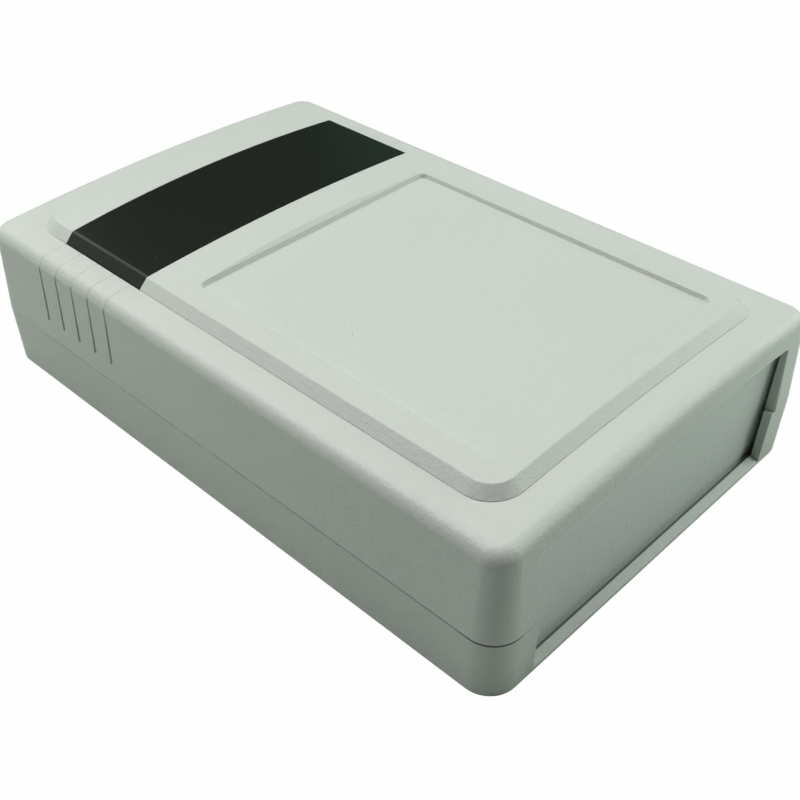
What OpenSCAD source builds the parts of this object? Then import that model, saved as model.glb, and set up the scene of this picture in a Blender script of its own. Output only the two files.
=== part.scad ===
// Wall-mount display enclosure: two moulded shells, a dark display window and a loose end panel,
// held together by four screws driven from the back. The enclosure lies on its back face, with the
// display end towards +Y and the open, panelled end towards -Y. All sizes are in millimetres.

/* [Body] */
// Overall width, across the enclosure
body_w = 100; // [90:1:120]
// Overall length, from the panelled end to the display end
body_l = 155; // [145:1:190]
// Radius of the upright corners
corner_r = 6.2; // [5.5:0.1:8]
// Height of the rear shell, up to the line where the shells part
rear_h = 13.8; // [11:0.1:18]
// Height of the front shell's rim along the long sides, over the back face
rim_h = 34.1; // [30:0.1:42]
// Draft of the front shell's outer walls, in degrees
draft = 3; // [1:0.1:4]
// Thickness of the side and end walls
wall = 2.2; // [1.8:0.1:2.6]
// Thickness of the rear shell's floor
floor_t = 2; // [1.8:0.1:3]

/* [Front shell] */
// Rise of the rim from the long sides to the middle of the width
rim_crown = 1.8; // [0.6:0.1:3]
// Radius of the edge between the rim and the outer walls
rim_fillet = 3.2; // [2:0.1:3.8]
// Thickness of the roof under the rim's lowest line
roof_t = 2.5; // [2.2:0.1:3.2]
// Height of the shadow gap between the shells
parting_gap = 0.15; // [0.1:0.05:0.5]
// Depth of the shadow gap between the shells
parting_depth = 0.5; // [0.3:0.1:0.8]

/* [Raised face] */
// Width of the rim from the outer side walls to the raised face
rim_side = 8.9; // [8:0.1:12]
// Width of the rim from the outer end walls to the raised face
rim_end = 9.3; // [8:0.1:12]
// Height of the raised face's long edges over the rim beside them
face_h = 2.1; // [1:0.05:2.4]
// Height of the upright foot under the raised face's sloped border
face_step = 0.1; // [0.05:0.05:0.4]
// Radius between the sloped border and the top of the raised face
face_fillet = 0.6; // [0.4:0.1:2]
// Rise of the raised face from its long edges to the middle
face_crown = 1.25; // [0.5:0.05:1.6]
// Width of the sloped border of the raised face
face_bevel = 2.2; // [2:0.1:4]
// Corner radius of the raised face where it meets the rim
face_corner = 7.2; // [6:0.1:10]

/* [Label recess] */
// Width of the flat label floor
label_w = 66.4; // [50:0.2:70]
// Distance between the flat label floor and the window's near edge
label_gap = 11; // [9:0.1:30]
// Distance from the near end of the raised face's base to the label floor
label_offset = 7.5; // [7:0.1:9]
// Depth of the label floor under the raised face's long edges
label_depth = 0.55; // [0.2:0.05:0.8]
// Slope of the recess walls from upright, in degrees
label_slope = 26; // [20:1:50]
// Corner radius of the label floor
label_corner = 1.2; // [0.6:0.1:4]
// Height over the label floor where the far wall eases off into the crown
label_ease_h = 1.05; // [0.8:0.05:1.2]
// Slope of the eased part of the far wall, in degrees
label_ease = 31; // [20:1:40]

/* [Display window] */
// Length of the window along the enclosure, at its sides
window_l = 26.9; // [20:0.1:29]
// Distance from the window's far edge to the far end of the raised face's base
window_margin = 13.1; // [10:0.1:16]
// Bow of the window's near edge
window_near_bow = 0; // [0:0.1:1.5]
// Bow of the window's far edge
window_far_bow = 1.3; // [0.5:0.1:2.5]
// Thickness of the window
window_t = 2; // [1.5:0.1:2.4]
// Gap around the window's edge
window_gap = 0.12; // [0.05:0.01:0.2]
// Width of the ledge that carries the window
window_ledge = 3; // [2:0.1:4]
// Radius of the window's fold over the sloped borders
window_fold = 1.6; // [0.6:0.1:2]

/* [Side grooves] */
// Number of grooves on each long side
groove_count = 5; // [3:1:7]
// Distance between grooves
groove_pitch = 6.05; // [4:0.05:7]
// Width of a groove
groove_w = 0.8; // [0.5:0.05:1.2]
// Depth of a groove
groove_depth = 0.5; // [0.3:0.05:0.7]
// Height of the grooves' lower ends over the parting line
groove_start = 4.9; // [2:0.1:8]
// Distance of the grooves' middle past the middle of the window
groove_shift = 1.4; // [-2:0.1:2]
// Depth of the fine line that carries each groove on across the rim
trace_depth = 0.03; // [0.02:0.01:0.1]
// Width of the fine line that carries each groove on across the rim
trace_w = 0.3; // [0.2:0.05:0.5]

/* [End opening] */
// Width of the end opening in the front shell
opening_w = 79.2; // [60:0.2:82]
// How much narrower the opening is in the rear shell, on each side
opening_step = 1; // [0.4:0.1:2]
// Distance from the rim's top down to the opening
opening_drop = 5.3; // [5:0.1:7]
// Radius of the opening's upper corners
opening_corner = 0.8; // [0.3:0.1:1.5]
// Width of the chamfer around the opening in the front shell
opening_ease = 0.3; // [0.1:0.05:0.6]
// Thickness of the end wall at the sill and beside it, in the rear shell
sill_t = 1.85; // [1.6:0.05:2]
// Height of the sill's front edge
sill_front = 0.8; // [0.5:0.1:1.2]
// Height of the sill's back edge
sill_back = 1.8; // [1.5:0.1:1.8]

/* [End panel] */
// Width of the end panel
panel_w = 90; // [85:0.5:91]
// Thickness of the end panel
panel_t = 2; // [1.5:0.1:2.5]
// Gap between the end wall and the panel's face
panel_gap = 0.8; // [0.5:0.05:1.2]
// Clearance between the panel and what guides it
panel_play = 0.1; // [0.05:0.01:0.2]
// Height of the panel's foot over the back face
panel_foot = 1; // [0.8:0.1:1.2]
// Thickness of the panel's guide ribs
guide_t = 1.5; // [1:0.1:2]
// Overlap of a guide rib over the panel's edge
guide_grip = 2; // [1:0.1:3]

/* [Case screws] */
// Distance of the case screws from the outer side walls
screw_side = 8; // [7.6:0.1:9]
// Distance of the case screws from the outer end walls
screw_end = 13; // [12.6:0.1:15]
// Diameter of the screw's shank
screw_d = 2.9; // [2.5:0.1:3.5]
// Length of the screw under its head
screw_l = 16; // [12:0.5:18]
// Diameter of the screw's head
screw_head_d = 5.8; // [5:0.1:6.4]
// Height of the screw's head
screw_head_h = 2.2; // [1.8:0.1:2.8]
// Clearance around the screw's head and shank
screw_play = 0.2; // [0.1:0.05:0.4]
// Depth of the screw's hole in the back face
screw_sink = 9; // [6:0.1:10]
// Wall of a screw boss around its bore
boss_wall = 1.5; // [1.2:0.1:1.6]

/* [Board bosses] */
// Distance across between the circuit-board bosses
board_w = 68; // [50:1:70]
// Distance along between the circuit-board bosses
board_l = 84; // [60:1:86]
// Height of the circuit-board bosses over the floor
board_h = 6; // [4:0.5:9]
// Distance along between the display-board bosses
display_l = 36; // [35:0.5:38]
// Drop of the display-board bosses under the roof
display_drop = 4.5; // [3:0.5:8]
// Diameter of the bosses for boards
board_boss_d = 6; // [5:0.1:7]
// Diameter of the screw holes in the bosses for boards
board_hole_d = 2.2; // [1.8:0.1:2.8]

/* [Wall slots] */
// Distance along between the wall-screw slots
slot_pitch = 100; // [80:1:104]
// Width of a wall-screw slot
slot_w = 5; // [3.5:0.1:6]
// Length of a wall-screw slot, end to end
slot_l = 10; // [8:0.5:14]

/* [Hidden] */
$fn = 64;
// Cuts reach this far past the faces they open
over = 1;
// Facets of the rounded forms
round_fn = 64;
// Steps around a quarter turn of the rim's edge
fillet_steps = 8;
// Steps across the rounding of the raised face's edge
face_steps = 4;
// Steps across the width of a crowned surface
crown_steps = 14;

half_w = body_w / 2;
half_l = body_l / 2;
corner_x = half_w - corner_r;
corner_y = half_l - corner_r;
// The front shell's walls lean in by this much up to the rim
lean = (rim_h - rear_h) * tan(draft);
top_w = half_w - lean;
top_corner = corner_r - lean;
inner_corner = corner_r - wall;
roof_z = rim_h - roof_t;
inner_lean = (roof_z - rear_h) * tan(draft);

face_half = half_w - rim_side;
face_end = half_l - rim_end;
face_top_half = face_half - face_bevel;
face_corner_x = face_half - face_corner;
face_corner_y = face_end - face_corner;
face_edge_z = rim_z(face_half) + face_h;
// The raised face's form reaches this far down into the shell
face_root = window_t + 2;

window_end = face_end - window_margin;
window_start = window_end - window_l;

label_z = face_edge_z - label_depth;
label_near = -face_end + label_offset;
label_far = window_start - label_gap;
label_l = label_far - label_near;
// The roof under the label is relieved to the common thickness
relief_margin = 1;

window_half = face_half - window_gap;
// The window's seat is cut this much wider than the raised face, and down to seat_z
seat_play = window_gap / 4;
seat_z = rim_z(face_half) - window_t;
window_mid = window_start + window_l / 2;

opening_half = opening_w / 2;
rear_opening_half = opening_half - opening_step;
end_inner = -half_l + wall;
sill_inner = -half_l + sill_t;
panel_face = end_inner + panel_gap;
panel_back = panel_face + panel_t;
panel_top = roof_z - panel_play;
slot_half = panel_w / 2 + panel_play;
guide_start = panel_w / 2 - guide_grip;
guide_back = panel_back + panel_play;
// The guide ribs are rooted this deep in the walls and in the roof
guide_root = wall / 5;

screw_x = half_w - screw_side;
screw_y = half_l - screw_end;
rear_boss_r = screw_head_d / 2 + screw_play + boss_wall;
front_boss_r = screw_d / 2 + screw_play + boss_wall;
thread_end = screw_sink + screw_l;
drive_w = screw_head_d / 6;
drive_depth = screw_head_h / 2;

// Height of the rim at a distance x from the middle
function rim_z(x) = rim_h + rim_crown * (1 - pow(x / top_w, 2));

// Height of the raised face at a distance x from the middle
function face_z(x) = face_edge_z + face_crown * (1 - pow(x / face_top_half, 2));

// Positions from -reach to reach in the steps of a crowned surface
function across(reach) = [for (i = [0:crown_steps]) -reach + 2 * reach * i / crown_steps];

// Upright block with rounded corners, standing on z
module rounded_block(hw, hl, r, z, h) {
    translate([-hw + r, -hl, z]) cube([2 * (hw - r), 2 * hl, h]);
    translate([-hw, -hl + r, z]) cube([2 * hw, 2 * (hl - r), h]);
    for (sx = [-1, 1], sy = [-1, 1])
        translate([sx * (hw - r), sy * (hl - r), z]) cylinder(r = r, h = h);
}

// Bar along Y under a crowned line: heights is a list of [x, z]
module crowned_bar(heights, base_z, hl) {
    reach = heights[len(heights) - 1][0];
    translate([0, hl, 0])
        rotate([90, 0, 0])
            linear_extrude(2 * hl)
                polygon(concat([[reach, base_z], [-reach, base_z]], heights));
}

// Outer form of the front shell without the raised face, drawn in by inset all round
module front_form(inset) {
    corner_drop = rim_z(corner_x) - rim_z(top_w);
    tilt = atan(corner_drop / (top_w - corner_x));
    edge = [for (i = [0:fillet_steps]) 90 * i / fillet_steps];
    top_r = top_corner - rim_fillet;
    fillet = rim_fillet - inset;
    hull() {
        for (sx = [-1, 1], sy = [-1, 1]) {
            translate([sx * corner_x, sy * corner_y, rear_h])
                cylinder(r = corner_r - inset, h = 2 * parting_gap, $fn = round_fn);
            translate([sx * corner_x, sy * corner_y, rim_z(corner_x)])
                rotate([0, sx * tilt, 0])
                    rotate([0, 0, sx > 0 ? (sy > 0 ? 0 : -90) : (sy > 0 ? 90 : 180)])
                        rotate_extrude(angle = 90, $fn = round_fn)
                            polygon(concat(
                                [[0, -rim_fillet]],
                                [for (a = edge) [top_r + fillet * cos(a), fillet * sin(a) - rim_fillet]],
                                [[0, -inset]]));
        }
        for (a = edge)
            crowned_bar(
                [for (x = across(corner_x)) [x, rim_z(x) - rim_fillet + fillet * sin(a)]],
                rim_z(corner_x) - 2 * rim_fillet,
                corner_y + top_r + fillet * cos(a));
    }
}

// The raised face, from inside the shell up to its crowned top, with its upper edge rounded by fillet
module face_form(fillet = face_fillet) {
    top_r = face_corner - face_bevel;
    slope = atan((face_h - face_step) / face_bevel);
    // The rounding takes this much off the sloped border and off the top
    cut = fillet * tan(slope / 2);
    turns = [for (i = [0:face_steps]) slope * (1 - i / face_steps)];
    round_off = [for (a = turns) [cut - fillet * sin(a), fillet * (1 - cos(a))]];
    base_tilt = atan((rim_z(face_corner_x) - rim_z(face_half)) / face_corner);
    top_tilt = atan((face_z(face_corner_x) - face_z(face_top_half)) / top_r);
    hull() {
        for (sx = [-1, 1], sy = [-1, 1]) {
            translate([sx * face_corner_x, sy * face_corner_y, rim_z(face_corner_x)])
                rotate([0, sx * base_tilt, 0])
                    translate([0, 0, -face_root])
                        cylinder(r = face_corner, h = face_root + face_step, $fn = round_fn);
            translate([sx * face_corner_x, sy * face_corner_y, face_z(face_corner_x)])
                rotate([0, sx * top_tilt, 0])
                    rotate([0, 0, sx > 0 ? (sy > 0 ? 0 : -90) : (sy > 0 ? 90 : 180)])
                        rotate_extrude(angle = 90, $fn = round_fn)
                            polygon(concat(
                                [[0, -face_h / 2]],
                                [for (c = round_off) [top_r - c[0], -c[1]]],
                                [[0, 0]]));
        }
        crowned_bar(
            [for (x = across(face_corner_x)) [x, rim_z(x) + face_step]],
            rim_h - face_root, face_end);
        for (c = round_off)
            crowned_bar(
                [for (x = across(face_corner_x)) [x, face_z(x) - c[1]]],
                rim_h, face_end - face_bevel - c[0]);
    }
}

// Point of the window's bowed edge at a share t of its width, from -1 to 1
function bowed(t, half, y, bow) = [half * t, y + bow * (1 - t * t)];

// Upright block with the outline of the window, drawn in by inset all round and widened by side
module window_block(inset, z, h, side = 0) {
    half = window_half - inset + side;
    steps = [for (i = [0:crown_steps]) -1 + 2 * i / crown_steps];
    near = [for (t = steps) bowed(t, half, window_start + inset, window_near_bow)];
    far = [for (t = steps) bowed(-t, half, window_end - inset, window_far_bow)];
    translate([0, 0, z]) linear_extrude(h) polygon(concat(near, far));
}

// Recess for a label: a flat floor with sloped walls, the far wall eased off into the crown
module label_cut() {
    rise = face_crown + 4 * label_depth;
    spread = rise * tan(label_slope);
    half = label_w / 2;
    ease_y = label_far + label_ease_h * tan(label_slope);
    hull()
        for (sx = [-1, 1], y = [label_near + label_corner, label_far - label_corner])
            translate([sx * (half - label_corner), y, label_z])
                cylinder(r1 = label_corner, r2 = label_corner + spread, h = rise, $fn = round_fn);
    translate([-half, 0, label_z])
        rotate([90, 0, 90])
            linear_extrude(2 * half)
                polygon([
                    [label_far - label_corner, label_ease_h], [ease_y, label_ease_h],
                    [ease_y + (rise - label_ease_h) / tan(label_ease), rise],
                    [label_far - label_corner, rise]]);
}

// Places of the side grooves on the side sx, the middle of each at the origin
module at_grooves(sx) {
    for (i = [0:groove_count - 1])
        translate([0, window_mid + groove_shift + (i - (groove_count - 1) / 2) * groove_pitch, 0])
            rotate([0, 0, sx > 0 ? 0 : 180]) children();
}

// Grooves down both long sides that run out in the rim's edge, and fine lines on to the window
module side_grooves() {
    foot = rear_h + groove_start;
    floor_x = half_w - groove_depth - groove_start * tan(draft);
    for (sx = [-1, 1])
        at_grooves(sx)
            translate([0, groove_w / 2, 0])
                rotate([90, 0, 0])
                    linear_extrude(groove_w)
                        polygon([
                            [half_w + over, foot], [floor_x, foot],
                            [floor_x - (rim_h - foot) * tan(draft), rim_h], [half_w + over, rim_h]]);
    difference() {
        for (sx = [-1, 1])
            at_grooves(sx)
                translate([face_half, -trace_w / 2, rim_h - rim_fillet])
                    cube([half_w - face_half, trace_w, rim_fillet + rim_crown]);
        front_form(trace_depth);
    }
}

// Guide ribs between the end wall's inner face at y and the panel's edges, and behind them, from z0 to z1
module panel_guides(z0, z1, y = end_inner) {
    reach = half_w - wall + guide_root;
    for (sx = [-1, 1]) {
        translate([sx > 0 ? guide_start : -slot_half, y - guide_root, z0])
            cube([slot_half - guide_start, panel_face - panel_play - y + guide_root, z1 - z0]);
        translate([sx > 0 ? guide_start : -reach, guide_back, z0])
            cube([reach - guide_start, guide_t, z1 - z0]);
    }
}

// Places of the four case screws
module at_screws() {
    for (sx = [-1, 1], sy = [-1, 1])
        translate([sx * screw_x, sy * screw_y, 0]) children();
}

// Places of four board bosses, l apart along the enclosure and centred on y
module at_boards(y, l) {
    for (sx = [-1, 1], sy = [-1, 1])
        translate([sx * board_w / 2, y + sy * l / 2, 0]) children();
}

// Moulded front half, with the raised face, the label recess and the seat of the window
module front_shell() {
    color("#d8dbd5")
    difference() {
        union() {
            difference() {
                union() {
                    front_form(0);
                    face_form();
                }
                front_cavity();
                label_cut();
                side_grooves();
                front_opening();
                parting_cut();
                difference() {
                    window_block(-window_gap, seat_z, rim_h, seat_play);
                    translate([0, 0, -window_t]) face_form();
                }
            }
            at_screws()
                translate([0, 0, rear_h]) cylinder(r = front_boss_r, h = roof_z - rear_h + guide_root);
            at_boards(window_mid, display_l)
                translate([0, 0, roof_z - display_drop])
                    cylinder(d = board_boss_d, h = display_drop + guide_root);
            panel_guides(rear_h, roof_z + guide_root);
        }
        window_block(window_ledge, rear_h, rim_h);
        at_screws()
            translate([0, 0, rear_h - over]) cylinder(d = screw_d, h = thread_end - rear_h + 2 * over);
        at_boards(window_mid, display_l)
            translate([0, 0, roof_z - display_drop - over])
                cylinder(d = board_hole_d, h = display_drop + over);
    }
}

// Hollow of the front shell, with the roof relieved under the label and a slot for the panel
module front_cavity() {
    hull()
        for (sx = [-1, 1], sy = [-1, 1])
            translate([sx * corner_x, sy * corner_y, rear_h])
                cylinder(
                    r1 = inner_corner, r2 = inner_corner - inner_lean,
                    h = roof_z - rear_h, $fn = round_fn);
    rounded_block(half_w - wall, half_l - wall, inner_corner, rear_h - over, over);
    translate([-label_w / 2 + relief_margin, label_near + relief_margin, rear_h])
        cube([label_w - 2 * relief_margin, label_l - 2 * relief_margin, label_z - wall - rear_h]);
    translate([-slot_half, end_inner, rear_h - over])
        cube([2 * slot_half, guide_back - end_inner, roof_z - rear_h + over]);
}

// The part of the end opening that lies in the front shell, under a crowned top
module front_opening() {
    flat_half = opening_half - opening_corner;
    corner_z = rim_z(flat_half) - opening_drop - opening_corner;
    turns = [for (i = [0:fillet_steps - 1]) 90 * i / fillet_steps];
    left = [for (a = turns) [-flat_half - opening_corner * cos(a), corner_z + opening_corner * sin(a)]];
    right = [for (i = [fillet_steps - 1:-1:0]) [-left[i][0], left[i][1]]];
    top = [for (x = across(flat_half)) [x, rim_z(x) - opening_drop]];
    foot = [[opening_half, rear_h - over], [-opening_half, rear_h - over]];
    outline = concat(foot, left, top, right);
    translate([0, end_inner + over, 0])
        rotate([90, 0, 0])
            linear_extrude(wall + 2 * over) polygon(outline);
    // The chamfer leans in with the end wall
    translate([0, -half_l, rear_h])
        rotate([90 - draft, 0, 0])
            translate([0, -rear_h, 0])
                hull() {
                    translate([0, 0, -2 * opening_ease])
                        linear_extrude(opening_ease / 10) offset(delta = -opening_ease) polygon(outline);
                    translate([0, 0, over])
                        linear_extrude(opening_ease / 10) offset(delta = over + opening_ease) polygon(outline);
                }
}

// Shadow gap around the front shell's lower edge
module parting_cut() {
    difference() {
        rounded_block(half_w + over, half_l + over, corner_r + over, rear_h - over, parting_gap + over);
        rounded_block(half_w - parting_depth, half_l - parting_depth, corner_r - parting_depth,
            rear_h - 2 * over, parting_gap + 3 * over);
    }
}

// Moulded rear half, with the wall slots, the screw bosses and the sill of the end opening
module rear_shell() {
    color("#d3d6d0")
    difference() {
        union() {
            difference() {
                rounded_block(half_w, half_l, corner_r, 0, rear_h);
                rounded_block(half_w - wall, half_l - wall, inner_corner, floor_t, rear_h);
                rear_opening();
                translate([-slot_half, sill_inner, panel_foot])
                    cube([2 * slot_half, guide_back - sill_inner, rear_h]);
            }
            at_screws() cylinder(r = rear_boss_r, h = rear_h);
            at_boards(0, board_l) cylinder(d = board_boss_d, h = floor_t + board_h);
            panel_guides(floor_t / 2, rear_h, sill_inner);
        }
        at_screws() {
            translate([0, 0, -over]) cylinder(d = screw_head_d + 2 * screw_play, h = screw_sink + over);
            cylinder(d = screw_d + 2 * screw_play, h = rear_h + over);
        }
        at_boards(0, board_l) translate([0, 0, floor_t]) cylinder(d = board_hole_d, h = board_h + over);
        for (sy = [-1, 1]) translate([0, sy * slot_pitch / 2, 0]) wall_slot();
    }
}

// The part of the end opening that lies in the rear shell, over a sloped sill
module rear_opening() {
    fall = (sill_back - sill_front) / sill_t * over;
    translate([-rear_opening_half, 0, 0])
        rotate([90, 0, 90])
            linear_extrude(2 * rear_opening_half)
                polygon([
                    [-half_l - over, sill_front - fall], [sill_inner, sill_back],
                    [end_inner + over, sill_back], [end_inner + over, rear_h + over],
                    [-half_l - over, rear_h + over]]);
}

// Slot with round ends through the floor, for a wall screw
module wall_slot() {
    straight = slot_l - slot_w;
    translate([-slot_w / 2, -straight / 2, -over]) cube([slot_w, straight, floor_t + 2 * over]);
    for (sy = [-1, 1])
        translate([0, sy * straight / 2, -over]) cylinder(d = slot_w, h = floor_t + 2 * over);
}

// Dark window, flush with the raised face and folded over its sloped borders
module display_window() {
    color("#1d201d")
    difference() {
        intersection() {
            face_form(window_fold);
            window_block(0, roof_z - over, rim_h);
        }
        translate([0, 0, -window_t]) face_form();
    }
}

// Flat plate that closes the end opening
module end_panel() {
    color("#c6cac5")
    translate([-panel_w / 2, panel_face, panel_foot])
        cube([panel_w, panel_t, panel_top - panel_foot]);
}

// Four screws from the back, with cross-shaped drives
module case_screws() {
    color("silver")
    at_screws()
        difference() {
            union() {
                translate([0, 0, screw_sink - screw_head_h]) cylinder(d = screw_head_d, h = screw_head_h);
                translate([0, 0, screw_sink]) cylinder(d = screw_d - screw_play, h = screw_l);
            }
            for (turn = [0, 90])
                rotate([0, 0, turn])
                    translate([-screw_head_d / 3, -drive_w / 2, screw_sink - screw_head_h - over])
                        cube([screw_head_d * 2 / 3, drive_w, drive_depth + over]);
        }
}

front_shell();
rear_shell();
display_window();
end_panel();
case_screws();
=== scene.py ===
"""Looks of a wall-mount display enclosure: moulded shells, dark window, end panel and case screws."""

import logging
import math
from dataclasses import dataclass
from enum import Enum

import bmesh
import bpy
from mathutils import Matrix, Vector


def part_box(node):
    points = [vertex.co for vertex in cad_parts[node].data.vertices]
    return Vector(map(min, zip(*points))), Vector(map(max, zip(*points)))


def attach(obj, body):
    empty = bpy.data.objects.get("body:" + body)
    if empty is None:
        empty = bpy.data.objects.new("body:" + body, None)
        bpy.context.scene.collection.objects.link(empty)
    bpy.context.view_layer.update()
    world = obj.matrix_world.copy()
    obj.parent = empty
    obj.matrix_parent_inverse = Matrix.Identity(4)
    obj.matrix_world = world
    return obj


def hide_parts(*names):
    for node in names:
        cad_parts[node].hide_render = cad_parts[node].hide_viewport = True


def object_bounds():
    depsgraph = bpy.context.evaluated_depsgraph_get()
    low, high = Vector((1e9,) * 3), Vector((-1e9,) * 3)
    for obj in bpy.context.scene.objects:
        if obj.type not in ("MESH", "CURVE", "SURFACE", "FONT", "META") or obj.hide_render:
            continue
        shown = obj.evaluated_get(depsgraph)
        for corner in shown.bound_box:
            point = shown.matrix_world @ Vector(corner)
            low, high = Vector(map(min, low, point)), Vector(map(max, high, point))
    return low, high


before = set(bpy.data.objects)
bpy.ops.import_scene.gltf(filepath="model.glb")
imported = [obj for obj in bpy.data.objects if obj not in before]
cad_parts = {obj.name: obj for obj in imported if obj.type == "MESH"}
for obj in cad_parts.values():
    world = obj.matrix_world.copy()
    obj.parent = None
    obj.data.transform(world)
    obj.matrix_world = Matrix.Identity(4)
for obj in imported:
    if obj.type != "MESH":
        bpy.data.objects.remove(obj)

log = logging.getLogger("enclosure")

MM = 0.001
BODY = "root"
CAD_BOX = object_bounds()

Colour = tuple[float, float, float, float]
Triple = tuple[float, float, float]

# Ranges of noise that a ramp spreads out
NOISE_RANGE = (0.3, 0.7)
SLOW_RANGE = (0.35, 0.65)
SCRATCH_RANGE = (0.64, 0.72)
PATCH_RANGE = (0.52, 0.68)

# Share of the fine noise in the height of the mould's grain
FINE_SHARE = 0.75

# Radius of a speck and its soft edge, in cells of the pattern
SPECK_LEAST = 0.02
SPECK_SPREAD = 0.05
SPECK_EDGE = (-0.01, 0.015)


class Slot(Enum):
    """Material slots of the record."""

    CASE = "case_plastic"
    PANEL = "panel_plastic"
    WINDOW = "window_plastic"
    SCREW = "screw_steel"


class Group(Enum):
    """Shader node groups that more than one material uses."""

    GRAIN = "mould_grain"
    MARKS = "handling_marks"
    TONE = "soft_tone"
    ZONE = "zone_mask"


class NodeTree:
    """Small helper that adds and links nodes in one node tree."""

    def __init__(self, tree: bpy.types.NodeTree) -> None:
        """Wraps a tree.

        Args:
            tree: The node tree to fill.
        """
        self.tree = tree

    def add(self, kind: str, **values: object) -> bpy.types.Node:
        """Adds a node and sets its properties and unlinked inputs.

        Args:
            kind: Blender's type name of the node.
            values: Properties of the node, or names of its inputs with spaces as underscores.

        Returns:
            The new node.
        """
        node = self.tree.nodes.new(kind)
        for key, value in values.items():
            if hasattr(node, key):
                setattr(node, key, value)
            else:
                node.inputs[key.replace("_", " ")].default_value = value
        return node

    def link(self, start: bpy.types.NodeSocket, end: bpy.types.NodeSocket) -> None:
        """Joins an output to an input."""
        self.tree.links.new(start, end)

    def math(self, operation: str, a: object, b: object = None, clamp: bool = False) -> bpy.types.NodeSocket:
        """Adds a maths node.

        Args:
            operation: Name of the operation.
            a: First value, a socket or a number.
            b: Second value, a socket or a number.
            clamp: Whether the result is kept between 0 and 1.

        Returns:
            The node's output.
        """
        node = self.tree.nodes.new("ShaderNodeMath")
        node.operation = operation
        node.use_clamp = clamp
        for socket, value in zip(node.inputs, (a, b)):
            if isinstance(value, bpy.types.NodeSocket):
                self.link(value, socket)
            elif value is not None:
                socket.default_value = value
        return node.outputs[0]

    def vector(self, operation: str, a: bpy.types.NodeSocket,
               b: bpy.types.NodeSocket) -> bpy.types.NodeSocket:
        """Adds a vector maths node.

        Args:
            operation: Name of the operation.
            a: First vector.
            b: Second vector.

        Returns:
            The node's output.
        """
        node = self.add("ShaderNodeVectorMath", operation=operation)
        self.link(a, node.inputs[0])
        self.link(b, node.inputs[1])
        return node.outputs[0]

    def ramp(self, value: bpy.types.NodeSocket, low: float, high: float,
             start: float = 0.0, end: float = 1.0) -> bpy.types.NodeSocket:
        """Maps a value smoothly from one range to another.

        Args:
            value: The value to map.
            low: Value that gives start.
            high: Value that gives end.
            start: Result at low.
            end: Result at high.

        Returns:
            The mapped value.
        """
        node = self.add("ShaderNodeMapRange", interpolation_type="SMOOTHSTEP",
                        From_Min=low, From_Max=high, To_Min=start, To_Max=end)
        self.link(value, node.inputs["Value"])
        return node.outputs["Result"]

    def mix(self, share: object, a: object, b: object) -> bpy.types.NodeSocket:
        """Mixes two colours.

        Args:
            share: Share of the second colour, a socket or a number.
            a: First colour, a socket or four numbers.
            b: Second colour, a socket or four numbers.

        Returns:
            The mixed colour.
        """
        node = self.tree.nodes.new("ShaderNodeMix")
        node.data_type = "RGBA"
        for socket, value in ((node.inputs[0], share), (node.inputs[6], a), (node.inputs[7], b)):
            if isinstance(value, bpy.types.NodeSocket):
                self.link(value, socket)
            else:
                socket.default_value = value
        return node.outputs[2]


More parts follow.
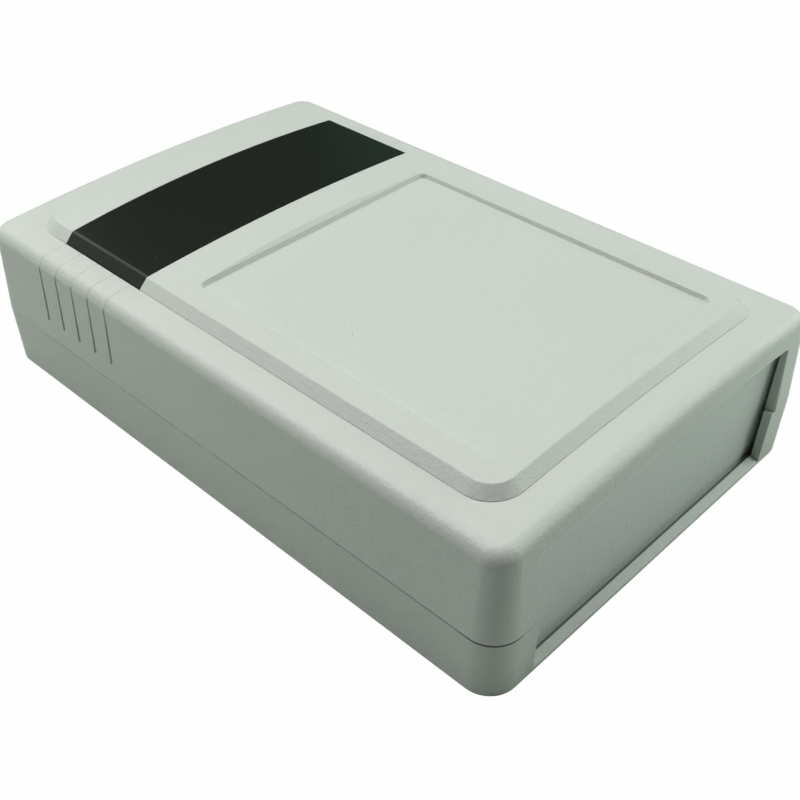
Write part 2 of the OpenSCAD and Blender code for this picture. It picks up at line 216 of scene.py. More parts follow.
class GroupLibrary:
    """Builds each shared shader group once and places it in materials."""

    def __init__(self) -> None:
        """Starts with no group built."""
        self.made: dict[Group, bpy.types.NodeTree] = {}

    def get(self, kind: Group) -> bpy.types.NodeTree:
        """Gives a group, and builds it the first time.

        Args:
            kind: Which group.

        Returns:
            The group's node tree.
        """
        if kind not in self.made:
            makers = {
                Group.GRAIN: self._grain,
                Group.MARKS: self._marks,
                Group.TONE: self._tone,
                Group.ZONE: self._zone,
            }
            self.made[kind] = makers[kind]()
        return self.made[kind]

    def place(self, net: NodeTree, kind: Group, coords: bpy.types.NodeSocket,
              **values: object) -> bpy.types.Node:
        """Places a group in a material.

        Args:
            net: The material's tree.
            kind: Which group.
            coords: Coordinates that it reads.
            values: Its inputs, with spaces as underscores.

        Returns:
            The group's node.
        """
        node = net.tree.nodes.new("ShaderNodeGroup")
        node.node_tree = self.get(kind)
        net.link(coords, node.inputs["Vector"])
        for key, value in values.items():
            node.inputs[key.replace("_", " ")].default_value = value
        return node

    @staticmethod
    def _start(kind: Group, inputs: dict[str, object], outputs: list[str]) -> tuple[NodeTree, dict, dict]:
        """Makes an empty group with a Vector input.

        Args:
            kind: Which group.
            inputs: Names and default values of the other inputs, numbers or triples.
            outputs: Names of the outputs.

        Returns:
            The tree's helper, the input sockets and the output sockets, by name.
        """
        tree = bpy.data.node_groups.new(kind.value, "ShaderNodeTree")
        tree.interface.new_socket("Vector", in_out="INPUT", socket_type="NodeSocketVector")
        for name, value in inputs.items():
            sort = "NodeSocketVector" if isinstance(value, tuple) else "NodeSocketFloat"
            socket = tree.interface.new_socket(name, in_out="INPUT", socket_type=sort)
            socket.default_value = value
        for name in outputs:
            tree.interface.new_socket(name, in_out="OUTPUT", socket_type="NodeSocketFloat")
        start = tree.nodes.new("NodeGroupInput")
        end = tree.nodes.new("NodeGroupOutput")
        return NodeTree(tree), {s.name: s for s in start.outputs}, {s.name: s for s in end.inputs}

    def _grain(self) -> bpy.types.NodeTree:
        """Fine texture of a spark-eroded mould.

        Returns:
            A group that gives a height and a tone, both around a half.
        """
        net, inp, out = self._start(Group.GRAIN, {"Scale": 2600.0, "Mottle": 420.0}, ["Height", "Tone"])
        fine = net.add("ShaderNodeTexNoise", Detail=3.0, Roughness=0.75)
        net.link(inp["Vector"], fine.inputs["Vector"])
        net.link(inp["Scale"], fine.inputs["Scale"])
        coarse = net.add("ShaderNodeTexNoise", Detail=3.0, Roughness=0.7)
        net.link(inp["Vector"], coarse.inputs["Vector"])
        net.link(inp["Mottle"], coarse.inputs["Scale"])
        small = net.math("MULTIPLY", fine.outputs[0], FINE_SHARE)
        large = net.math("MULTIPLY", coarse.outputs[0], 1.0 - FINE_SHARE)
        net.link(net.math("ADD", small, large), out["Height"])
        net.link(coarse.outputs[0], out["Tone"])
        return net.tree

    def _marks(self) -> bpy.types.NodeTree:
        """Marks of handling.

        Returns:
            A group that gives masks of small dark specks and of faint pale scuffs.
        """
        inputs = {"Speck Scale": 160.0, "Speck Share": 0.06}
        net, inp, out = self._start(Group.MARKS, inputs, ["Speck", "Scuff"])
        cells = net.add("ShaderNodeTexVoronoi")
        net.link(inp["Vector"], cells.inputs["Vector"])
        net.link(inp["Speck Scale"], cells.inputs["Scale"])
        parts = net.add("ShaderNodeSeparateColor")
        net.link(cells.outputs["Color"], parts.inputs[0])
        chosen = net.math("LESS_THAN", parts.outputs[0], inp["Speck Share"])
        size = net.math("MULTIPLY", parts.outputs[1], SPECK_SPREAD)
        near = net.math("SUBTRACT", net.math("ADD", size, SPECK_LEAST), cells.outputs["Distance"])
        dot = net.ramp(near, *SPECK_EDGE)
        net.link(net.math("MULTIPLY", dot, chosen), out["Speck"])
        stretch = net.add("ShaderNodeMapping", Rotation=(0.35, 0.6, 0.9), Scale=(1.0, 0.16, 0.4))
        net.link(inp["Vector"], stretch.inputs["Vector"])
        scratch = net.add("ShaderNodeTexNoise", Scale=900.0, Detail=2.0, Roughness=0.5)
        net.link(stretch.outputs[0], scratch.inputs["Vector"])
        patch = net.add("ShaderNodeTexNoise", Scale=38.0, Detail=1.0)
        net.link(inp["Vector"], patch.inputs["Vector"])
        line = net.ramp(scratch.outputs[0], *SCRATCH_RANGE)
        net.link(net.math("MULTIPLY", line, net.ramp(patch.outputs[0], *PATCH_RANGE)), out["Scuff"])
        return net.tree

    def _tone(self) -> bpy.types.NodeTree:
        """Slow changes of tone across a moulding.

        Returns:
            A group that gives a tone around a half.
        """
        net, inp, out = self._start(Group.TONE, {"Scale": 16.0}, ["Tone"])
        slow = net.add("ShaderNodeTexNoise", Detail=2.0, Roughness=0.45)
        net.link(inp["Vector"], slow.inputs["Vector"])
        net.link(inp["Scale"], slow.inputs["Scale"])
        net.link(slow.outputs[0], out["Tone"])
        return net.tree

    def _zone(self) -> bpy.types.NodeTree:
        """A box with soft sides, whose top and foot may follow a crowned edge.

        Returns:
            A group that gives 1 inside the box and 0 outside.
        """
        ones = (1.0, 1.0, 1.0)
        inputs = {"Low": (0.0, 0.0, 0.0), "High": ones, "Soft": ones, "Crown": 0.0}
        net, inp, out = self._start(Group.ZONE, inputs, ["Mask"])
        parts = net.add("ShaderNodeSeparateXYZ")
        net.link(inp["Vector"], parts.inputs[0])
        sag = net.math("MULTIPLY", net.math("MULTIPLY", parts.outputs[0], parts.outputs[0]), inp["Crown"])
        flat = net.add("ShaderNodeCombineXYZ")
        net.link(parts.outputs[0], flat.inputs[0])
        net.link(parts.outputs[1], flat.inputs[1])
        net.link(net.math("ADD", parts.outputs[2], sag), flat.inputs[2])
        above = net.vector("SUBTRACT", flat.outputs[0], inp["Low"])
        below = net.vector("SUBTRACT", inp["High"], flat.outputs[0])
        inside = net.add("ShaderNodeSeparateXYZ")
        net.link(net.vector("DIVIDE", net.vector("MINIMUM", above, below), inp["Soft"]), inside.inputs[0])
        least = net.math("MINIMUM", inside.outputs[0], inside.outputs[1])
        net.link(net.math("MINIMUM", least, inside.outputs[2], clamp=True), out["Mask"])
        return net.tree


@dataclass(frozen=True)
class Zone:
    """A part of a moulding, in mm, where its colour differs, such as painted shade in a gap or a painted
    highlight along an edge.
    """

    low: Triple
    high: Triple
    soft: Triple
    colour: Colour
    share: float
    crown: float = 0.0

    def apply(self, net: NodeTree, groups: GroupLibrary, place: bpy.types.NodeSocket,
              colour: bpy.types.NodeSocket) -> bpy.types.NodeSocket:
        """Lays the zone over a colour.

        Args:
            net: The material's tree.
            groups: The shared shader groups.
            place: Coordinates that it reads.
            colour: The colour so far.

        Returns:
            The colour with the zone.
        """
        low, high, soft = (Vector(size) * MM for size in (self.low, self.high, self.soft))
        node = groups.place(net, Group.ZONE, place, Low=low, High=high, Soft=soft, Crown=self.crown / MM)
        return net.mix(net.math("MULTIPLY", node.outputs["Mask"], self.share), colour, self.colour)


@dataclass(frozen=True)
class Moulding:
    """Finish of a moulded plastic piece."""

    name: str
    colour: Colour
    shade: Colour
    speck: Colour
    scuff: Colour
    roughness: float = 0.42
    roughness_spread: float = 0.06
    grain: float = 1300.0
    grain_depth: float = 0.15 * MM
    grain_strength: float = 1.0
    slow_share: float = 0.6
    speck_scale: float = 300.0
    speck_share: float = 0.05
    speck_depth: float = 0.8
    scuff_share: float = 0.1
    specular: float = 0.5
    edge_radius: float = 0.15 * MM
    edge_samples: int = 4
    zones: tuple[Zone, ...] = ()

    def make(self, groups: GroupLibrary) -> bpy.types.Material:
        """Builds the material.

        Args:
            groups: The shared shader groups.

        Returns:
            The new material.
        """
        material = bpy.data.materials.new(self.name)
        material.use_nodes = True
        material.diffuse_color = self.colour
        net = NodeTree(material.node_tree)
        shader = material.node_tree.nodes["Principled BSDF"]
        place = net.add("ShaderNodeTexCoord").outputs["Object"]
        grain = groups.place(net, Group.GRAIN, place, Scale=self.grain)
        tone = groups.place(net, Group.TONE, place)
        net.link(self._colour(net, groups, place, grain, tone), shader.inputs["Base Color"])
        low, high = self.roughness - self.roughness_spread, self.roughness + self.roughness_spread
        net.link(net.ramp(grain.outputs["Height"], *NOISE_RANGE, low, high), shader.inputs["Roughness"])
        shader.inputs["Specular IOR Level"].default_value = self.specular
        bump = net.add("ShaderNodeBump", Strength=self.grain_strength, Distance=self.grain_depth)
        net.link(grain.outputs["Height"], bump.inputs["Height"])
        edge = net.add("ShaderNodeBevel", samples=self.edge_samples, Radius=self.edge_radius)
        net.link(edge.outputs["Normal"], bump.inputs["Normal"])
        net.link(bump.outputs["Normal"], shader.inputs["Normal"])
        return material

    def _colour(self, net: NodeTree, groups: GroupLibrary, place: bpy.types.NodeSocket,
                grain: bpy.types.Node, tone: bpy.types.Node) -> bpy.types.NodeSocket:
        """Lays the tones, scuffs, specks and zones over one another.

        Args:
            net: The material's tree.
            groups: The shared shader groups.
            place: Coordinates that the marks and zones read.
            grain: The grain group's node.
            tone: The tone group's node.

        Returns:
            The finished colour.
        """
        marks = groups.place(net, Group.MARKS, place,
                             Speck_Scale=self.speck_scale, Speck_Share=self.speck_share)
        slow = net.math("MULTIPLY", net.ramp(tone.outputs["Tone"], *SLOW_RANGE), self.slow_share)
        fine = net.math("MULTIPLY", net.ramp(grain.outputs["Tone"], *NOISE_RANGE), 1.0 - self.slow_share)
        colour = net.mix(net.math("ADD", slow, fine), self.colour, self.shade)
        scuffs = net.math("MULTIPLY", marks.outputs["Scuff"], self.scuff_share)
        specks = net.math("MULTIPLY", marks.outputs["Speck"], self.speck_depth)
        colour = net.mix(specks, net.mix(scuffs, colour, self.scuff), self.speck)
        for zone in self.zones:
            colour = zone.apply(net, groups, place, colour)
        return colour


@dataclass(frozen=True)
class PlatedSteel:
    """Finish of a zinc-plated screw."""

    name: str
    bright: Colour
    dull: Colour
    roughness: float = 0.34
    smoother: float = 0.1
    rougher: float = 0.12
    grain: float = 4200.0
    mottle: float = 900.0
    grain_depth: float = 0.02 * MM
    grain_strength: float = 0.2
    tone_scale: float = 700.0

    def make(self, groups: GroupLibrary) -> bpy.types.Material:
        """Builds the material.

        Args:
            groups: The shared shader groups.

        Returns:
            The new material.
        """
        material = bpy.data.materials.new(self.name)
        material.use_nodes = True
        material.diffuse_color = self.bright
        net = NodeTree(material.node_tree)
        shader = material.node_tree.nodes["Principled BSDF"]
        place = net.add("ShaderNodeTexCoord").outputs["Object"]
        grain = groups.place(net, Group.GRAIN, place, Scale=self.grain, Mottle=self.mottle)
        tone = groups.place(net, Group.TONE, place, Scale=self.tone_scale)
        share = net.ramp(tone.outputs["Tone"], *SLOW_RANGE)
        net.link(net.mix(share, self.bright, self.dull), shader.inputs["Base Color"])
        shader.inputs["Metallic"].default_value = 1.0
        low, high = self.roughness - self.smoother, self.roughness + self.rougher
        net.link(net.ramp(grain.outputs["Tone"], *NOISE_RANGE, low, high), shader.inputs["Roughness"])
        bump = net.add("ShaderNodeBump", Strength=self.grain_strength, Distance=self.grain_depth)
        net.link(grain.outputs["Height"], bump.inputs["Height"])
        net.link(bump.outputs["Normal"], shader.inputs["Normal"])
        return material


# Colour of the painted shade in the parting line and in the panel's slot
PAINTED_GAP_SHADE = (0.05, 0.047, 0.04, 1.0)
# Colour of the painted highlight along the lintel's lower edge
PAINTED_EDGE_HIGHLIGHT = (0.7, 0.74, 0.685, 1.0)

# Places on the enclosure, in mm: its left side and near end, the parting line and the near opening
SIDE_X = round(CAD_BOX[0][0] / MM, 3)
END_Y = round(CAD_BOX[0][1] / MM, 3)
OUTSIDE_X = SIDE_X - 10.0
OUTSIDE_Y = END_Y - 2.5
FAR_OUTSIDE_Y = -400.0
PARTING_Z = 13.8
SEAM_FOOT_Z = PARTING_Z - 0.2
SEAM_TOP_Z = PARTING_Z + 0.35
SEAM_SOFT_Z = 0.13
SLOT_HALF = 46.0
SILL_Z = 1.75
OPENING_HALF = 39.8
LINTEL_Z = 30.6

# How far the lintel's crowned edge drops per square millimetre from its middle
LINTEL_SAG = 1.8 / 48.94 ** 2

# Painted shade in the left side's parting line, fading along it and darkest round the near corner
LEFT_SEAM = Zone(
    low=(OUTSIDE_X, FAR_OUTSIDE_Y, SEAM_FOOT_Z), high=(SIDE_X + 6.0, 40.0, SEAM_TOP_Z),
    soft=(3.0, 117.0, SEAM_SOFT_Z), colour=PAINTED_GAP_SHADE, share=0.42)
CORNER_SEAM = Zone(
    low=(OUTSIDE_X, OUTSIDE_Y, SEAM_FOOT_Z), high=(SIDE_X + 7.4, END_Y + 9.0, SEAM_TOP_Z),
    soft=(1.5, 3.0, SEAM_SOFT_Z), colour=PAINTED_GAP_SHADE, share=0.75)

# Painted shade in the panel's slot behind the sill, and a painted highlight along the edge under the lintel
PANEL_SLOT = Zone(
    low=(-SLOT_HALF, END_Y + 1.6, 0.5), high=(SLOT_HALF, END_Y + 3.0, SILL_Z),
    soft=(0.3, 0.6, 0.1), colour=PAINTED_GAP_SHADE, share=0.85)
# Painted highlight along the opening's edge under the lintel, following its crown
OPENING_EDGE = Zone(
    low=(-OPENING_HALF, OUTSIDE_Y, LINTEL_Z - 0.05), high=(OPENING_HALF, END_Y + 3.5, LINTEL_Z + 0.65),
    soft=(0.4, 0.4, 0.2), colour=PAINTED_EDGE_HIGHLIGHT, share=0.9, crown=LINTEL_SAG)

CASE_FINISH = Moulding(
    name="moulded_case_plastic", colour=(0.606, 0.646, 0.592, 1.0), shade=(0.586, 0.626, 0.573, 1.0),
    speck=(0.4, 0.42, 0.38, 1.0), scuff=(0.8, 0.82, 0.79, 1.0), speck_share=0.06,
    zones=(LEFT_SEAM, CORNER_SEAM, PANEL_SLOT, OPENING_EDGE))
PANEL_FINISH = Moulding(
    name="end_panel_plastic", colour=(0.635, 0.677, 0.635, 1.0), shade=(0.61, 0.65, 0.612, 1.0),
    speck=(0.3, 0.32, 0.3, 1.0), scuff=(0.8, 0.83, 0.8, 1.0),
    speck_scale=420.0, speck_share=0.4, scuff_share=0.3)
WINDOW_FINISH = Moulding(
    name="window_dark_plastic", colour=(0.0158, 0.02, 0.0148, 1.0), shade=(0.0138, 0.0175, 0.013, 1.0),
    speck=(0.12, 0.13, 0.12, 1.0), scuff=(0.03, 0.034, 0.03, 1.0), roughness=0.22, roughness_spread=0.03,
    grain_depth=0.02 * MM, grain_strength=0.2, speck_share=0.03, scuff_share=0.2, specular=0.16)
SCREW_FINISH = PlatedSteel(
    name="zinc_plated_screw", bright=(0.62, 0.63, 0.62, 1.0), dull=(0.42, 0.43, 0.42, 1.0))


def take_over(piece: bpy.types.Object, node: str) -> bpy.types.Object:
    """Lets a piece stand for a CAD node.

    Args:
        piece: The finished piece, at the origin.
        node: The CAD node.

    Returns:
        The same piece.
    """
    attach(piece, BODY)
    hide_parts(node)
    return piece


@dataclass
class MouldedPiece:
    """A rigid moulding that keeps the form of its CAD node, shaded smoothly between its sharp edges."""

    node: str
    name: str
    slot: Slot
    finish: Moulding
    sharp_deg: float = 20.0
    flat_deg: float = 0.05
    join: float = 0.002 * MM

    def build(self, groups: GroupLibrary) -> bpy.types.Object:
        """Makes the piece and puts it in the node's place.

        Args:
            groups: The shared shader groups.

        Returns:
            The finished piece.
        """
        mesh = self._merged()
        piece = bpy.data.objects.new(self.name, mesh)
        bpy.context.scene.collection.objects.link(piece)
        mesh.materials.clear()
        mesh.materials.append(self.finish.make(groups))
        self._even_out(piece)
        return take_over(piece, self.node)

    def _merged(self) -> bpy.types.Mesh:
        """Copies the node's mesh, joins its loose triangles and marks its edges.

        Returns:
            The joined mesh.
        """
        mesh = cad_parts[self.node].data.copy()
        mesh.name = self.name
        shape = bmesh.new()
        shape.from_mesh(mesh)
        bmesh.ops.remove_doubles(shape, verts=shape.verts, dist=self.join)
        bmesh.ops.dissolve_limit(shape, angle_limit=math.radians(self.flat_deg),
                                 verts=shape.verts, edges=shape.edges)
        for face in shape.faces:
            face.smooth = True
            face.material_index = 0
        for edge in shape.edges:
            even = edge.calc_face_angle(0.0) < math.radians(self.sharp_deg)
            edge.smooth = edge.is_manifold and even
        shape.to_mesh(mesh)
        shape.free()
        for name in ("custom_normal", "UVMap"):
            if name in mesh.attributes:
                mesh.attributes.remove(mesh.attributes[name])
        return mesh

    @staticmethod
    def _even_out(piece: bpy.types.Object) -> None:
        """Evens out the piece's shading between its sharp edges.

        Args:
            piece: The piece.
        """
        normals = piece.modifiers.new("even_shading", "WEIGHTED_NORMAL")
        normals.keep_sharp = True
        normals.mode = "FACE_AREA"


@dataclass
class CaseScrews:
    """The four screws that hold the shells, each with a cross drive and a thread."""

    node: str = "case_screws"
    name: str = "case_screws_threaded"
    head_r: float = 2.9 * MM
    head_h: float = 2.2 * MM
    head_flat_r: float = 1.46 * MM
    head_flat_drop: float = 0.0625 * MM
    head_crown: float = 0.25 * MM
    head_round: float = 0.9 * MM
    head_ease: float = 0.15 * MM
    head_around: int = 32
    head_steps: int = 6
    shank_r: float = 1.1 * MM
    thread_r: float = 1.35 * MM
    thread_lead: float = 0.9 * MM
    thread_slope: float = 3.2
    thread_around: int = 20
    thread_steps: int = 4
    length: float = 16.0 * MM
    point: float = 2.2 * MM
    point_share: float = 0.12
    pitch: float = 1.1 * MM
    seat_z: float = 9.0 * MM
    drive_r: float = 1.9 * MM
    drive_w: float = 0.95 * MM
    drive_depth: float = 1.1 * MM
    drive_over: float = 0.5 * MM
    drive_taper: float = 0.55
    drive_narrowing: float = 0.8
    sharp_deg: float = 32.0
    turn_seed: int = 7

    def build(self, groups: GroupLibrary) -> bpy.types.Object:
        """Makes one screw, sets it in each place and replaces the CAD node.

        Args:
            groups: The shared shader groups.

        Returns:
            The finished piece.
        """
        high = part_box(self.node)[1]
        x, y = high.x - self.head_r, high.y - self.head_r
        places = [(sx * x, sy * y, self.seat_z) for sx in (-1, 1) for sy in (-1, 1)]
        material = SCREW_FINISH.make(groups)
        master = bpy.data.objects.new("screw_master", self._screw())
        points = bpy.data.meshes.new("screw_points")
        points.from_pydata(places, [], [])
        carrier = bpy.data.objects.new(self.name, points)
        bpy.context.scene.collection.objects.link(carrier)
        modifier = carrier.modifiers.new("screws", "NODES")
        modifier.node_group = self._tree(master, material)
        bpy.context.view_layer.update()
        graph = bpy.context.evaluated_depsgraph_get()
        mesh = bpy.data.meshes.new_from_object(carrier.evaluated_get(graph), depsgraph=graph)
        carrier.modifiers.remove(modifier)
        carrier.data = mesh
        mesh.name = self.name
        mesh.set_sharp_from_angle(angle=math.radians(self.sharp_deg))
        bpy.data.objects.remove(master)
        return take_over(carrier, self.node)

    def _tree(self, master: bpy.types.Object, material: bpy.types.Material) -> bpy.types.NodeTree:
        """Builds the node tree that sets a screw on each point.

        Args:
            master: The one screw.
            material: Its finish.

        Returns:
            The geometry node tree.
        """
        tree = bpy.data.node_groups.new("screws_on_points", "GeometryNodeTree")
        tree.interface.new_socket("Geometry", in_out="INPUT", socket_type="NodeSocketGeometry")
        turn = tree.interface.new_socket("Largest Turn", in_out="INPUT", socket_type="NodeSocketFloat")
        turn.default_value = math.tau
        seed = tree.interface.new_socket("Seed", in_out="INPUT", socket_type="NodeSocketInt")
        seed.default_value = self.turn_seed
        tree.interface.new_socket("Geometry", in_out="OUTPUT", socket_type="NodeSocketGeometry")
        net = NodeTree(tree)
        start, end = net.add("NodeGroupInput"), net.add("NodeGroupOutput")
        shape = net.add("GeometryNodeObjectInfo")
        shape.inputs["Object"].default_value = master
        angle = net.add("FunctionNodeRandomValue", data_type="FLOAT")
        net.link(start.outputs["Largest Turn"], angle.inputs[3])
        net.link(start.outputs["Seed"], angle.inputs["Seed"])
        turned = net.add("ShaderNodeCombineXYZ")
        net.link(angle.outputs[1], turned.inputs["Z"])
        place = net.add("GeometryNodeInstanceOnPoints")
        net.link(start.outputs["Geometry"], place.inputs["Points"])
        net.link(shape.outputs["Geometry"], place.inputs["Instance"])
        net.link(turned.outputs[0], place.inputs["Rotation"])
        real = net.add("GeometryNodeRealizeInstances")
        net.link(place.outputs[0], real.inputs[0])
        dress = net.add("GeometryNodeSetMaterial")
        dress.inputs["Material"].default_value = material
        net.link(real.outputs[0], dress.inputs[0])
        net.link(dress.outputs[0], end.inputs[0])
        return tree

    def _screw(self) -> bpy.types.Mesh:
        """Makes one screw with its seat at the origin and its head below.

        Returns:
            The screw's mesh.
        """
        shape = bmesh.new()
        self._lathe(shape, self._head_profile())
        self._thread(shape)
        mesh = bpy.data.meshes.new("screw")
        bmesh.ops.recalc_face_normals(shape, faces=shape.faces)
        for face in shape.faces:
            face.smooth = True
        shape.to_mesh(mesh)
        shape.free()
        self._cut_drive(mesh)
        return mesh

    def _head_profile(self) -> list[tuple[float, float]]:
        """Outline of the pan head, from its top's middle to its seat's middle.

        Returns:
            Points of radius and height.
        """
        points = [(0.0, -self.head_h), (self.head_flat_r, -self.head_h + self.head_flat_drop)]
        for i in range(self.head_steps + 1):
            turn = math.radians(90 * i / self.head_steps)
            points.append((self.head_r - self.head_round * (1 - math.sin(turn)),
                           -self.head_h + self.head_crown + self.head_round * (1 - math.cos(turn))))
        points += [(self.head_r, -self.head_ease), (self.head_r - self.head_ease, 0.0), (0.0, 0.0)]
        return points

    def _lathe(self, shape: bmesh.types.BMesh, profile: list[tuple[float, float]]) -> None:
        """Turns a profile around the screw's axis.

        Args:
            shape: The mesh that it is added to.
            profile: Points of radius and height, the first and last on the axis.
        """
        around = self.head_around
        turns = [math.tau * i / around for i in range(around)]
        rings = []
        for r, z in profile:
            if r == 0.0:
                rings.append([shape.verts.new((0, 0, z))])
                continue
            rings.append([shape.verts.new((r * math.cos(t), r * math.sin(t), z)) for t in turns])
        for a, b in zip(rings, rings[1:]):
            for i in range(around):
                j = (i + 1) % around
                corners = [a[i % len(a)], a[j % len(a)], b[j % len(b)], b[i % len(b)]]
                shape.faces.new(list(dict.fromkeys(corners)))

    def _thread(self, shape: bmesh.types.BMesh) -> None:
        """Adds the shank as one helical surface that runs out to a point.

        Args:
            shape: The mesh that it is added to.
        """
        around = self.thread_around
        rows = int(self.length / self.pitch) * self.thread_steps
        rings = []
        for row in range(rows + 1):
            z = min(self.length * row / rows, self.length)
            taper = min(1.0, (self.length - z) / self.point + self.point_share)
            lead = min(1.0, z / self.thread_lead)
            ring = []
            for i in range(around):
                phase = (z / self.pitch - i / around) % 1.0
                crest = max(0.0, 1.0 - abs(phase - 0.5) * self.thread_slope)
                r = (self.shank_r + (self.thread_r - self.shank_r) * crest * lead) * taper
                turn = math.tau * i / around
                ring.append(shape.verts.new((r * math.cos(turn), r * math.sin(turn), z)))
            rings.append(ring)
        for a, b in zip(rings, rings[1:]):
            for i in range(around):
                j = (i + 1) % around
                shape.faces.new((a[i], a[j], b[j], b[i]))
        shape.faces.new(rings[0])
        shape.faces.new(rings[-1])

    def _drawn_in(self, value: float) -> float:
        """Gives a coordinate of the drive's outline at its foot."""
        return value * (self.drive_taper if abs(value) > self.drive_w / 2 else self.drive_narrowing)

    def _cut_drive(self, mesh: bpy.types.Mesh) -> None:
        """Cuts the cross drive into the head.

        Args:
            mesh: The screw's mesh.
        """
        piece = bpy.data.objects.new("screw_cut", mesh)
        tool_mesh = bpy.data.meshes.new("drive_tool")
        tool = bpy.data.objects.new("drive_tool", tool_mesh)
        shape = bmesh.new()
        half, w = self.drive_r, self.drive_w / 2
        top, foot = -self.head_h - self.drive_over, -self.head_h + self.drive_depth
        outline = [(w, half), (w, w), (half, w), (half, -w), (w, -w), (w, -half),
                   (-w, -half), (-w, -w), (-half, -w), (-half, w), (-w, w), (-w, half)]
        upper = [shape.verts.new((x, y, top)) for x, y in outline]
        lower = [shape.verts.new((self._drawn_in(x), self._drawn_in(y), foot)) for x, y in outline]
        for i in range(len(outline)):
            j = (i + 1) % len(outline)
            shape.faces.new((upper[i], upper[j], lower[j], lower[i]))
        shape.faces.new(upper)
        shape.faces.new(lower)
        bmesh.ops.recalc_face_normals(shape, faces=shape.faces)
        shape.to_mesh(tool_mesh)
        shape.free()
        for item in (piece, tool):
            bpy.context.scene.collection.objects.link(item)
        cut = piece.modifiers.new("cut", "BOOLEAN")
        cut.object, cut.operation, cut.solver = tool, "DIFFERENCE", "EXACT"
        bpy.context.view_layer.update()
        graph = bpy.context.evaluated_depsgraph_get()
        done = bpy.data.meshes.new_from_object(piece.evaluated_get(graph), depsgraph=graph)
        shape = bmesh.new()
        shape.from_mesh(done)
        mesh.clear_geometry()
        shape.to_mesh(mesh)
        shape.free()
        for item in (piece, tool):
            bpy.data.objects.remove(item)
        bpy.data.meshes.remove(done)


@dataclass
class Camera:
    """Camera at the photograph's place."""

    lens: float = 48.08826
    shift: tuple[float, float] = (0.0132963, 0.1207125)
    place: Triple = (-140.10039 * MM, -142.66415 * MM, 155.41599 * MM)
    right: Triple = (0.69878454, -0.71526101, -0.01009248)
    up: Triple = (0.49718284, 0.47548939, 0.72575414)
    back: Triple = (-0.51430477, -0.51216357, 0.68788013)
    sensor: float = 36.0
    nearest: float = 0.01
    farthest: float = 20.0

    def build(self) -> bpy.types.Object:
        """Makes the camera and sets it as the scene's.

        Returns:
            The camera object.
        """
        data = bpy.data.cameras.new("photo_camera")
        data.sensor_fit = "HORIZONTAL"
        data.sensor_width = self.sensor
        data.lens = self.lens
        data.shift_x, data.shift_y = self.shift
        data.clip_start, data.clip_end = self.nearest, self.farthest
        camera = bpy.data.objects.new("photo_camera", data)
        turn = Matrix((self.right, self.up, self.back)).transposed().to_4x4()
        camera.matrix_world = Matrix.Translation(Vector(self.place)) @ turn
        bpy.context.scene.collection.objects.link(camera)
        bpy.context.scene.camera = camera
        return camera


@dataclass(frozen=True)
class Softbox:
    """A square area light that faces the enclosure from a direction around it."""

    name: str
    azimuth: float
    elevation: float
    size: float
    power: float
    colour: Triple = (1.0, 1.0, 1.0)
    distance: float = 0.75
    target: Triple = (0.0, 0.0, 0.02)

    def build(self) -> bpy.types.Object:
        """Makes the light.

        Returns:
            The light object.
        """
        data = bpy.data.lights.new(self.name, "AREA")
        data.shape = "SQUARE"
        data.size = self.size
        data.energy = self.power
        data.color = self.colour
        around, up = math.radians(self.azimuth), math.radians(self.elevation)
        away = Vector((math.cos(up) * math.cos(around), math.cos(up) * math.sin(around), math.sin(up)))
        light = bpy.data.objects.new(self.name, data)
        light.location = Vector(self.target) + away * self.distance
        light.rotation_euler = (-away).to_track_quat("-Z", "Y").to_euler()
        bpy.context.scene.collection.objects.link(light)
        return light


# Tints of the low lights and of a faint glow that the window mirrors
LOW_TINT = (0.88, 1.0, 0.93)
GLOW_TINT = (0.3, 1.0, 0.65)
LOW_DISTANCE = 0.4


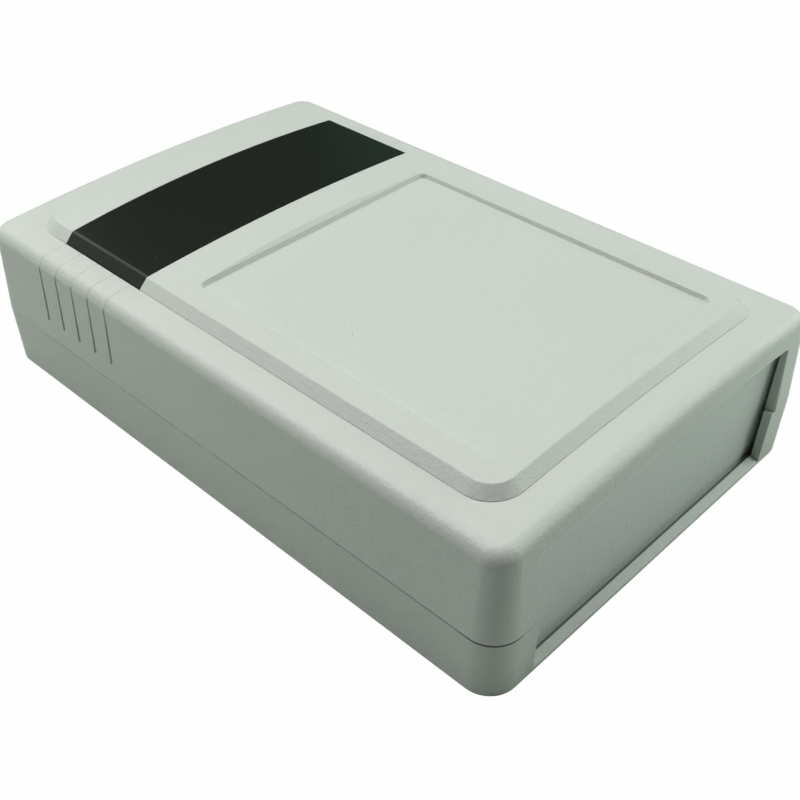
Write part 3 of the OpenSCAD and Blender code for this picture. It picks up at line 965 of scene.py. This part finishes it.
@dataclass
class Studio:
    """Pale floor, soft lights and surroundings."""

    boxes: tuple[Softbox, ...] = (
        Softbox("right_high_softbox", 42.0, 65.0, 0.35, 1.42),
        Softbox("far_left_high_softbox", 135.0, 65.0, 0.28, 1.9, distance=0.6),
        Softbox("far_middle_softbox", 90.0, 42.0, 0.35, 0.97),
        Softbox("near_right_middle_softbox", 315.0, 42.0, 0.187, 0.33, distance=LOW_DISTANCE),
        Softbox("far_left_low_softbox", 112.5, 18.0, 0.267, 0.215, LOW_TINT, LOW_DISTANCE),
        Softbox("near_low_softbox", 305.0, 18.0, 0.16, 0.265, LOW_TINT, LOW_DISTANCE),
        Softbox("right_low_softbox", 337.5, 18.0, 0.16, 0.243, LOW_TINT, LOW_DISTANCE),
        Softbox("far_right_glow_softbox", 36.0, 20.0, 0.26, 0.03, GLOW_TINT),
    )
    surround: Colour = (0.01, 0.01, 0.01, 1.0)
    backdrop: Colour = (0.97, 0.98, 0.97, 1.0)
    floor_colour: Colour = (0.545, 0.589, 0.55, 1.0)
    floor_half: float = 2.0
    floor_roughness: float = 0.9
    floor_glow: float = 0.985

    def build(self) -> None:
        """Makes the floor, the lights and the surroundings."""
        view = bpy.context.scene.view_settings
        view.view_transform = "Standard"
        view.look = "None"
        world = bpy.data.worlds.new("studio")
        world.use_nodes = True
        net = NodeTree(world.node_tree)
        seen = net.add("ShaderNodeLightPath").outputs["Is Camera Ray"]
        background = world.node_tree.nodes["Background"]
        net.link(net.mix(seen, self.surround, self.backdrop), background.inputs["Color"])
        bpy.context.scene.world = world
        for box in self.boxes:
            box.build()
        self._floor()

    def _floor(self) -> None:
        """Makes the pale floor, which shows nearly white."""
        mesh = bpy.data.meshes.new("pale_floor")
        h = self.floor_half
        mesh.from_pydata([(-h, -h, 0), (h, -h, 0), (h, h, 0), (-h, h, 0)], [], [(0, 1, 2, 3)])
        floor = bpy.data.objects.new("pale_floor", mesh)
        bpy.context.scene.collection.objects.link(floor)
        material = bpy.data.materials.new("pale_floor")
        material.use_nodes = True
        net = NodeTree(material.node_tree)
        shader = material.node_tree.nodes["Principled BSDF"]
        shader.inputs["Base Color"].default_value = self.floor_colour
        shader.inputs["Roughness"].default_value = self.floor_roughness
        glow = net.add("ShaderNodeEmission", Color=(1.0, 1.0, 1.0, 1.0), Strength=1.0)
        path = net.add("ShaderNodeLightPath")
        mix = net.add("ShaderNodeMixShader")
        net.link(net.math("MULTIPLY", path.outputs["Is Camera Ray"], self.floor_glow), mix.inputs[0])
        net.link(shader.outputs[0], mix.inputs[1])
        net.link(glow.outputs[0], mix.inputs[2])
        net.link(mix.outputs[0], material.node_tree.nodes["Material Output"].inputs["Surface"])
        mesh.materials.append(material)


def main() -> None:
    """Builds the camera, the studio and every piece."""
    logging.basicConfig(level=logging.INFO, format="%(name)s: %(message)s")
    Camera().build()
    Studio().build()
    groups = GroupLibrary()
    pieces = [
        MouldedPiece("front_shell", "front_shell_moulding", Slot.CASE, CASE_FINISH),
        MouldedPiece("rear_shell", "rear_shell_moulding", Slot.CASE, CASE_FINISH),
        MouldedPiece("display_window", "display_window_lens", Slot.WINDOW, WINDOW_FINISH),
        MouldedPiece("end_panel", "end_panel_plate", Slot.PANEL, PANEL_FINISH),
        CaseScrews(),
    ]
    for piece in pieces:
        made = piece.build(groups)
        log.info("%s: %d faces", made.name, len(made.data.polygons))


if __name__ == "__main__":
    main()
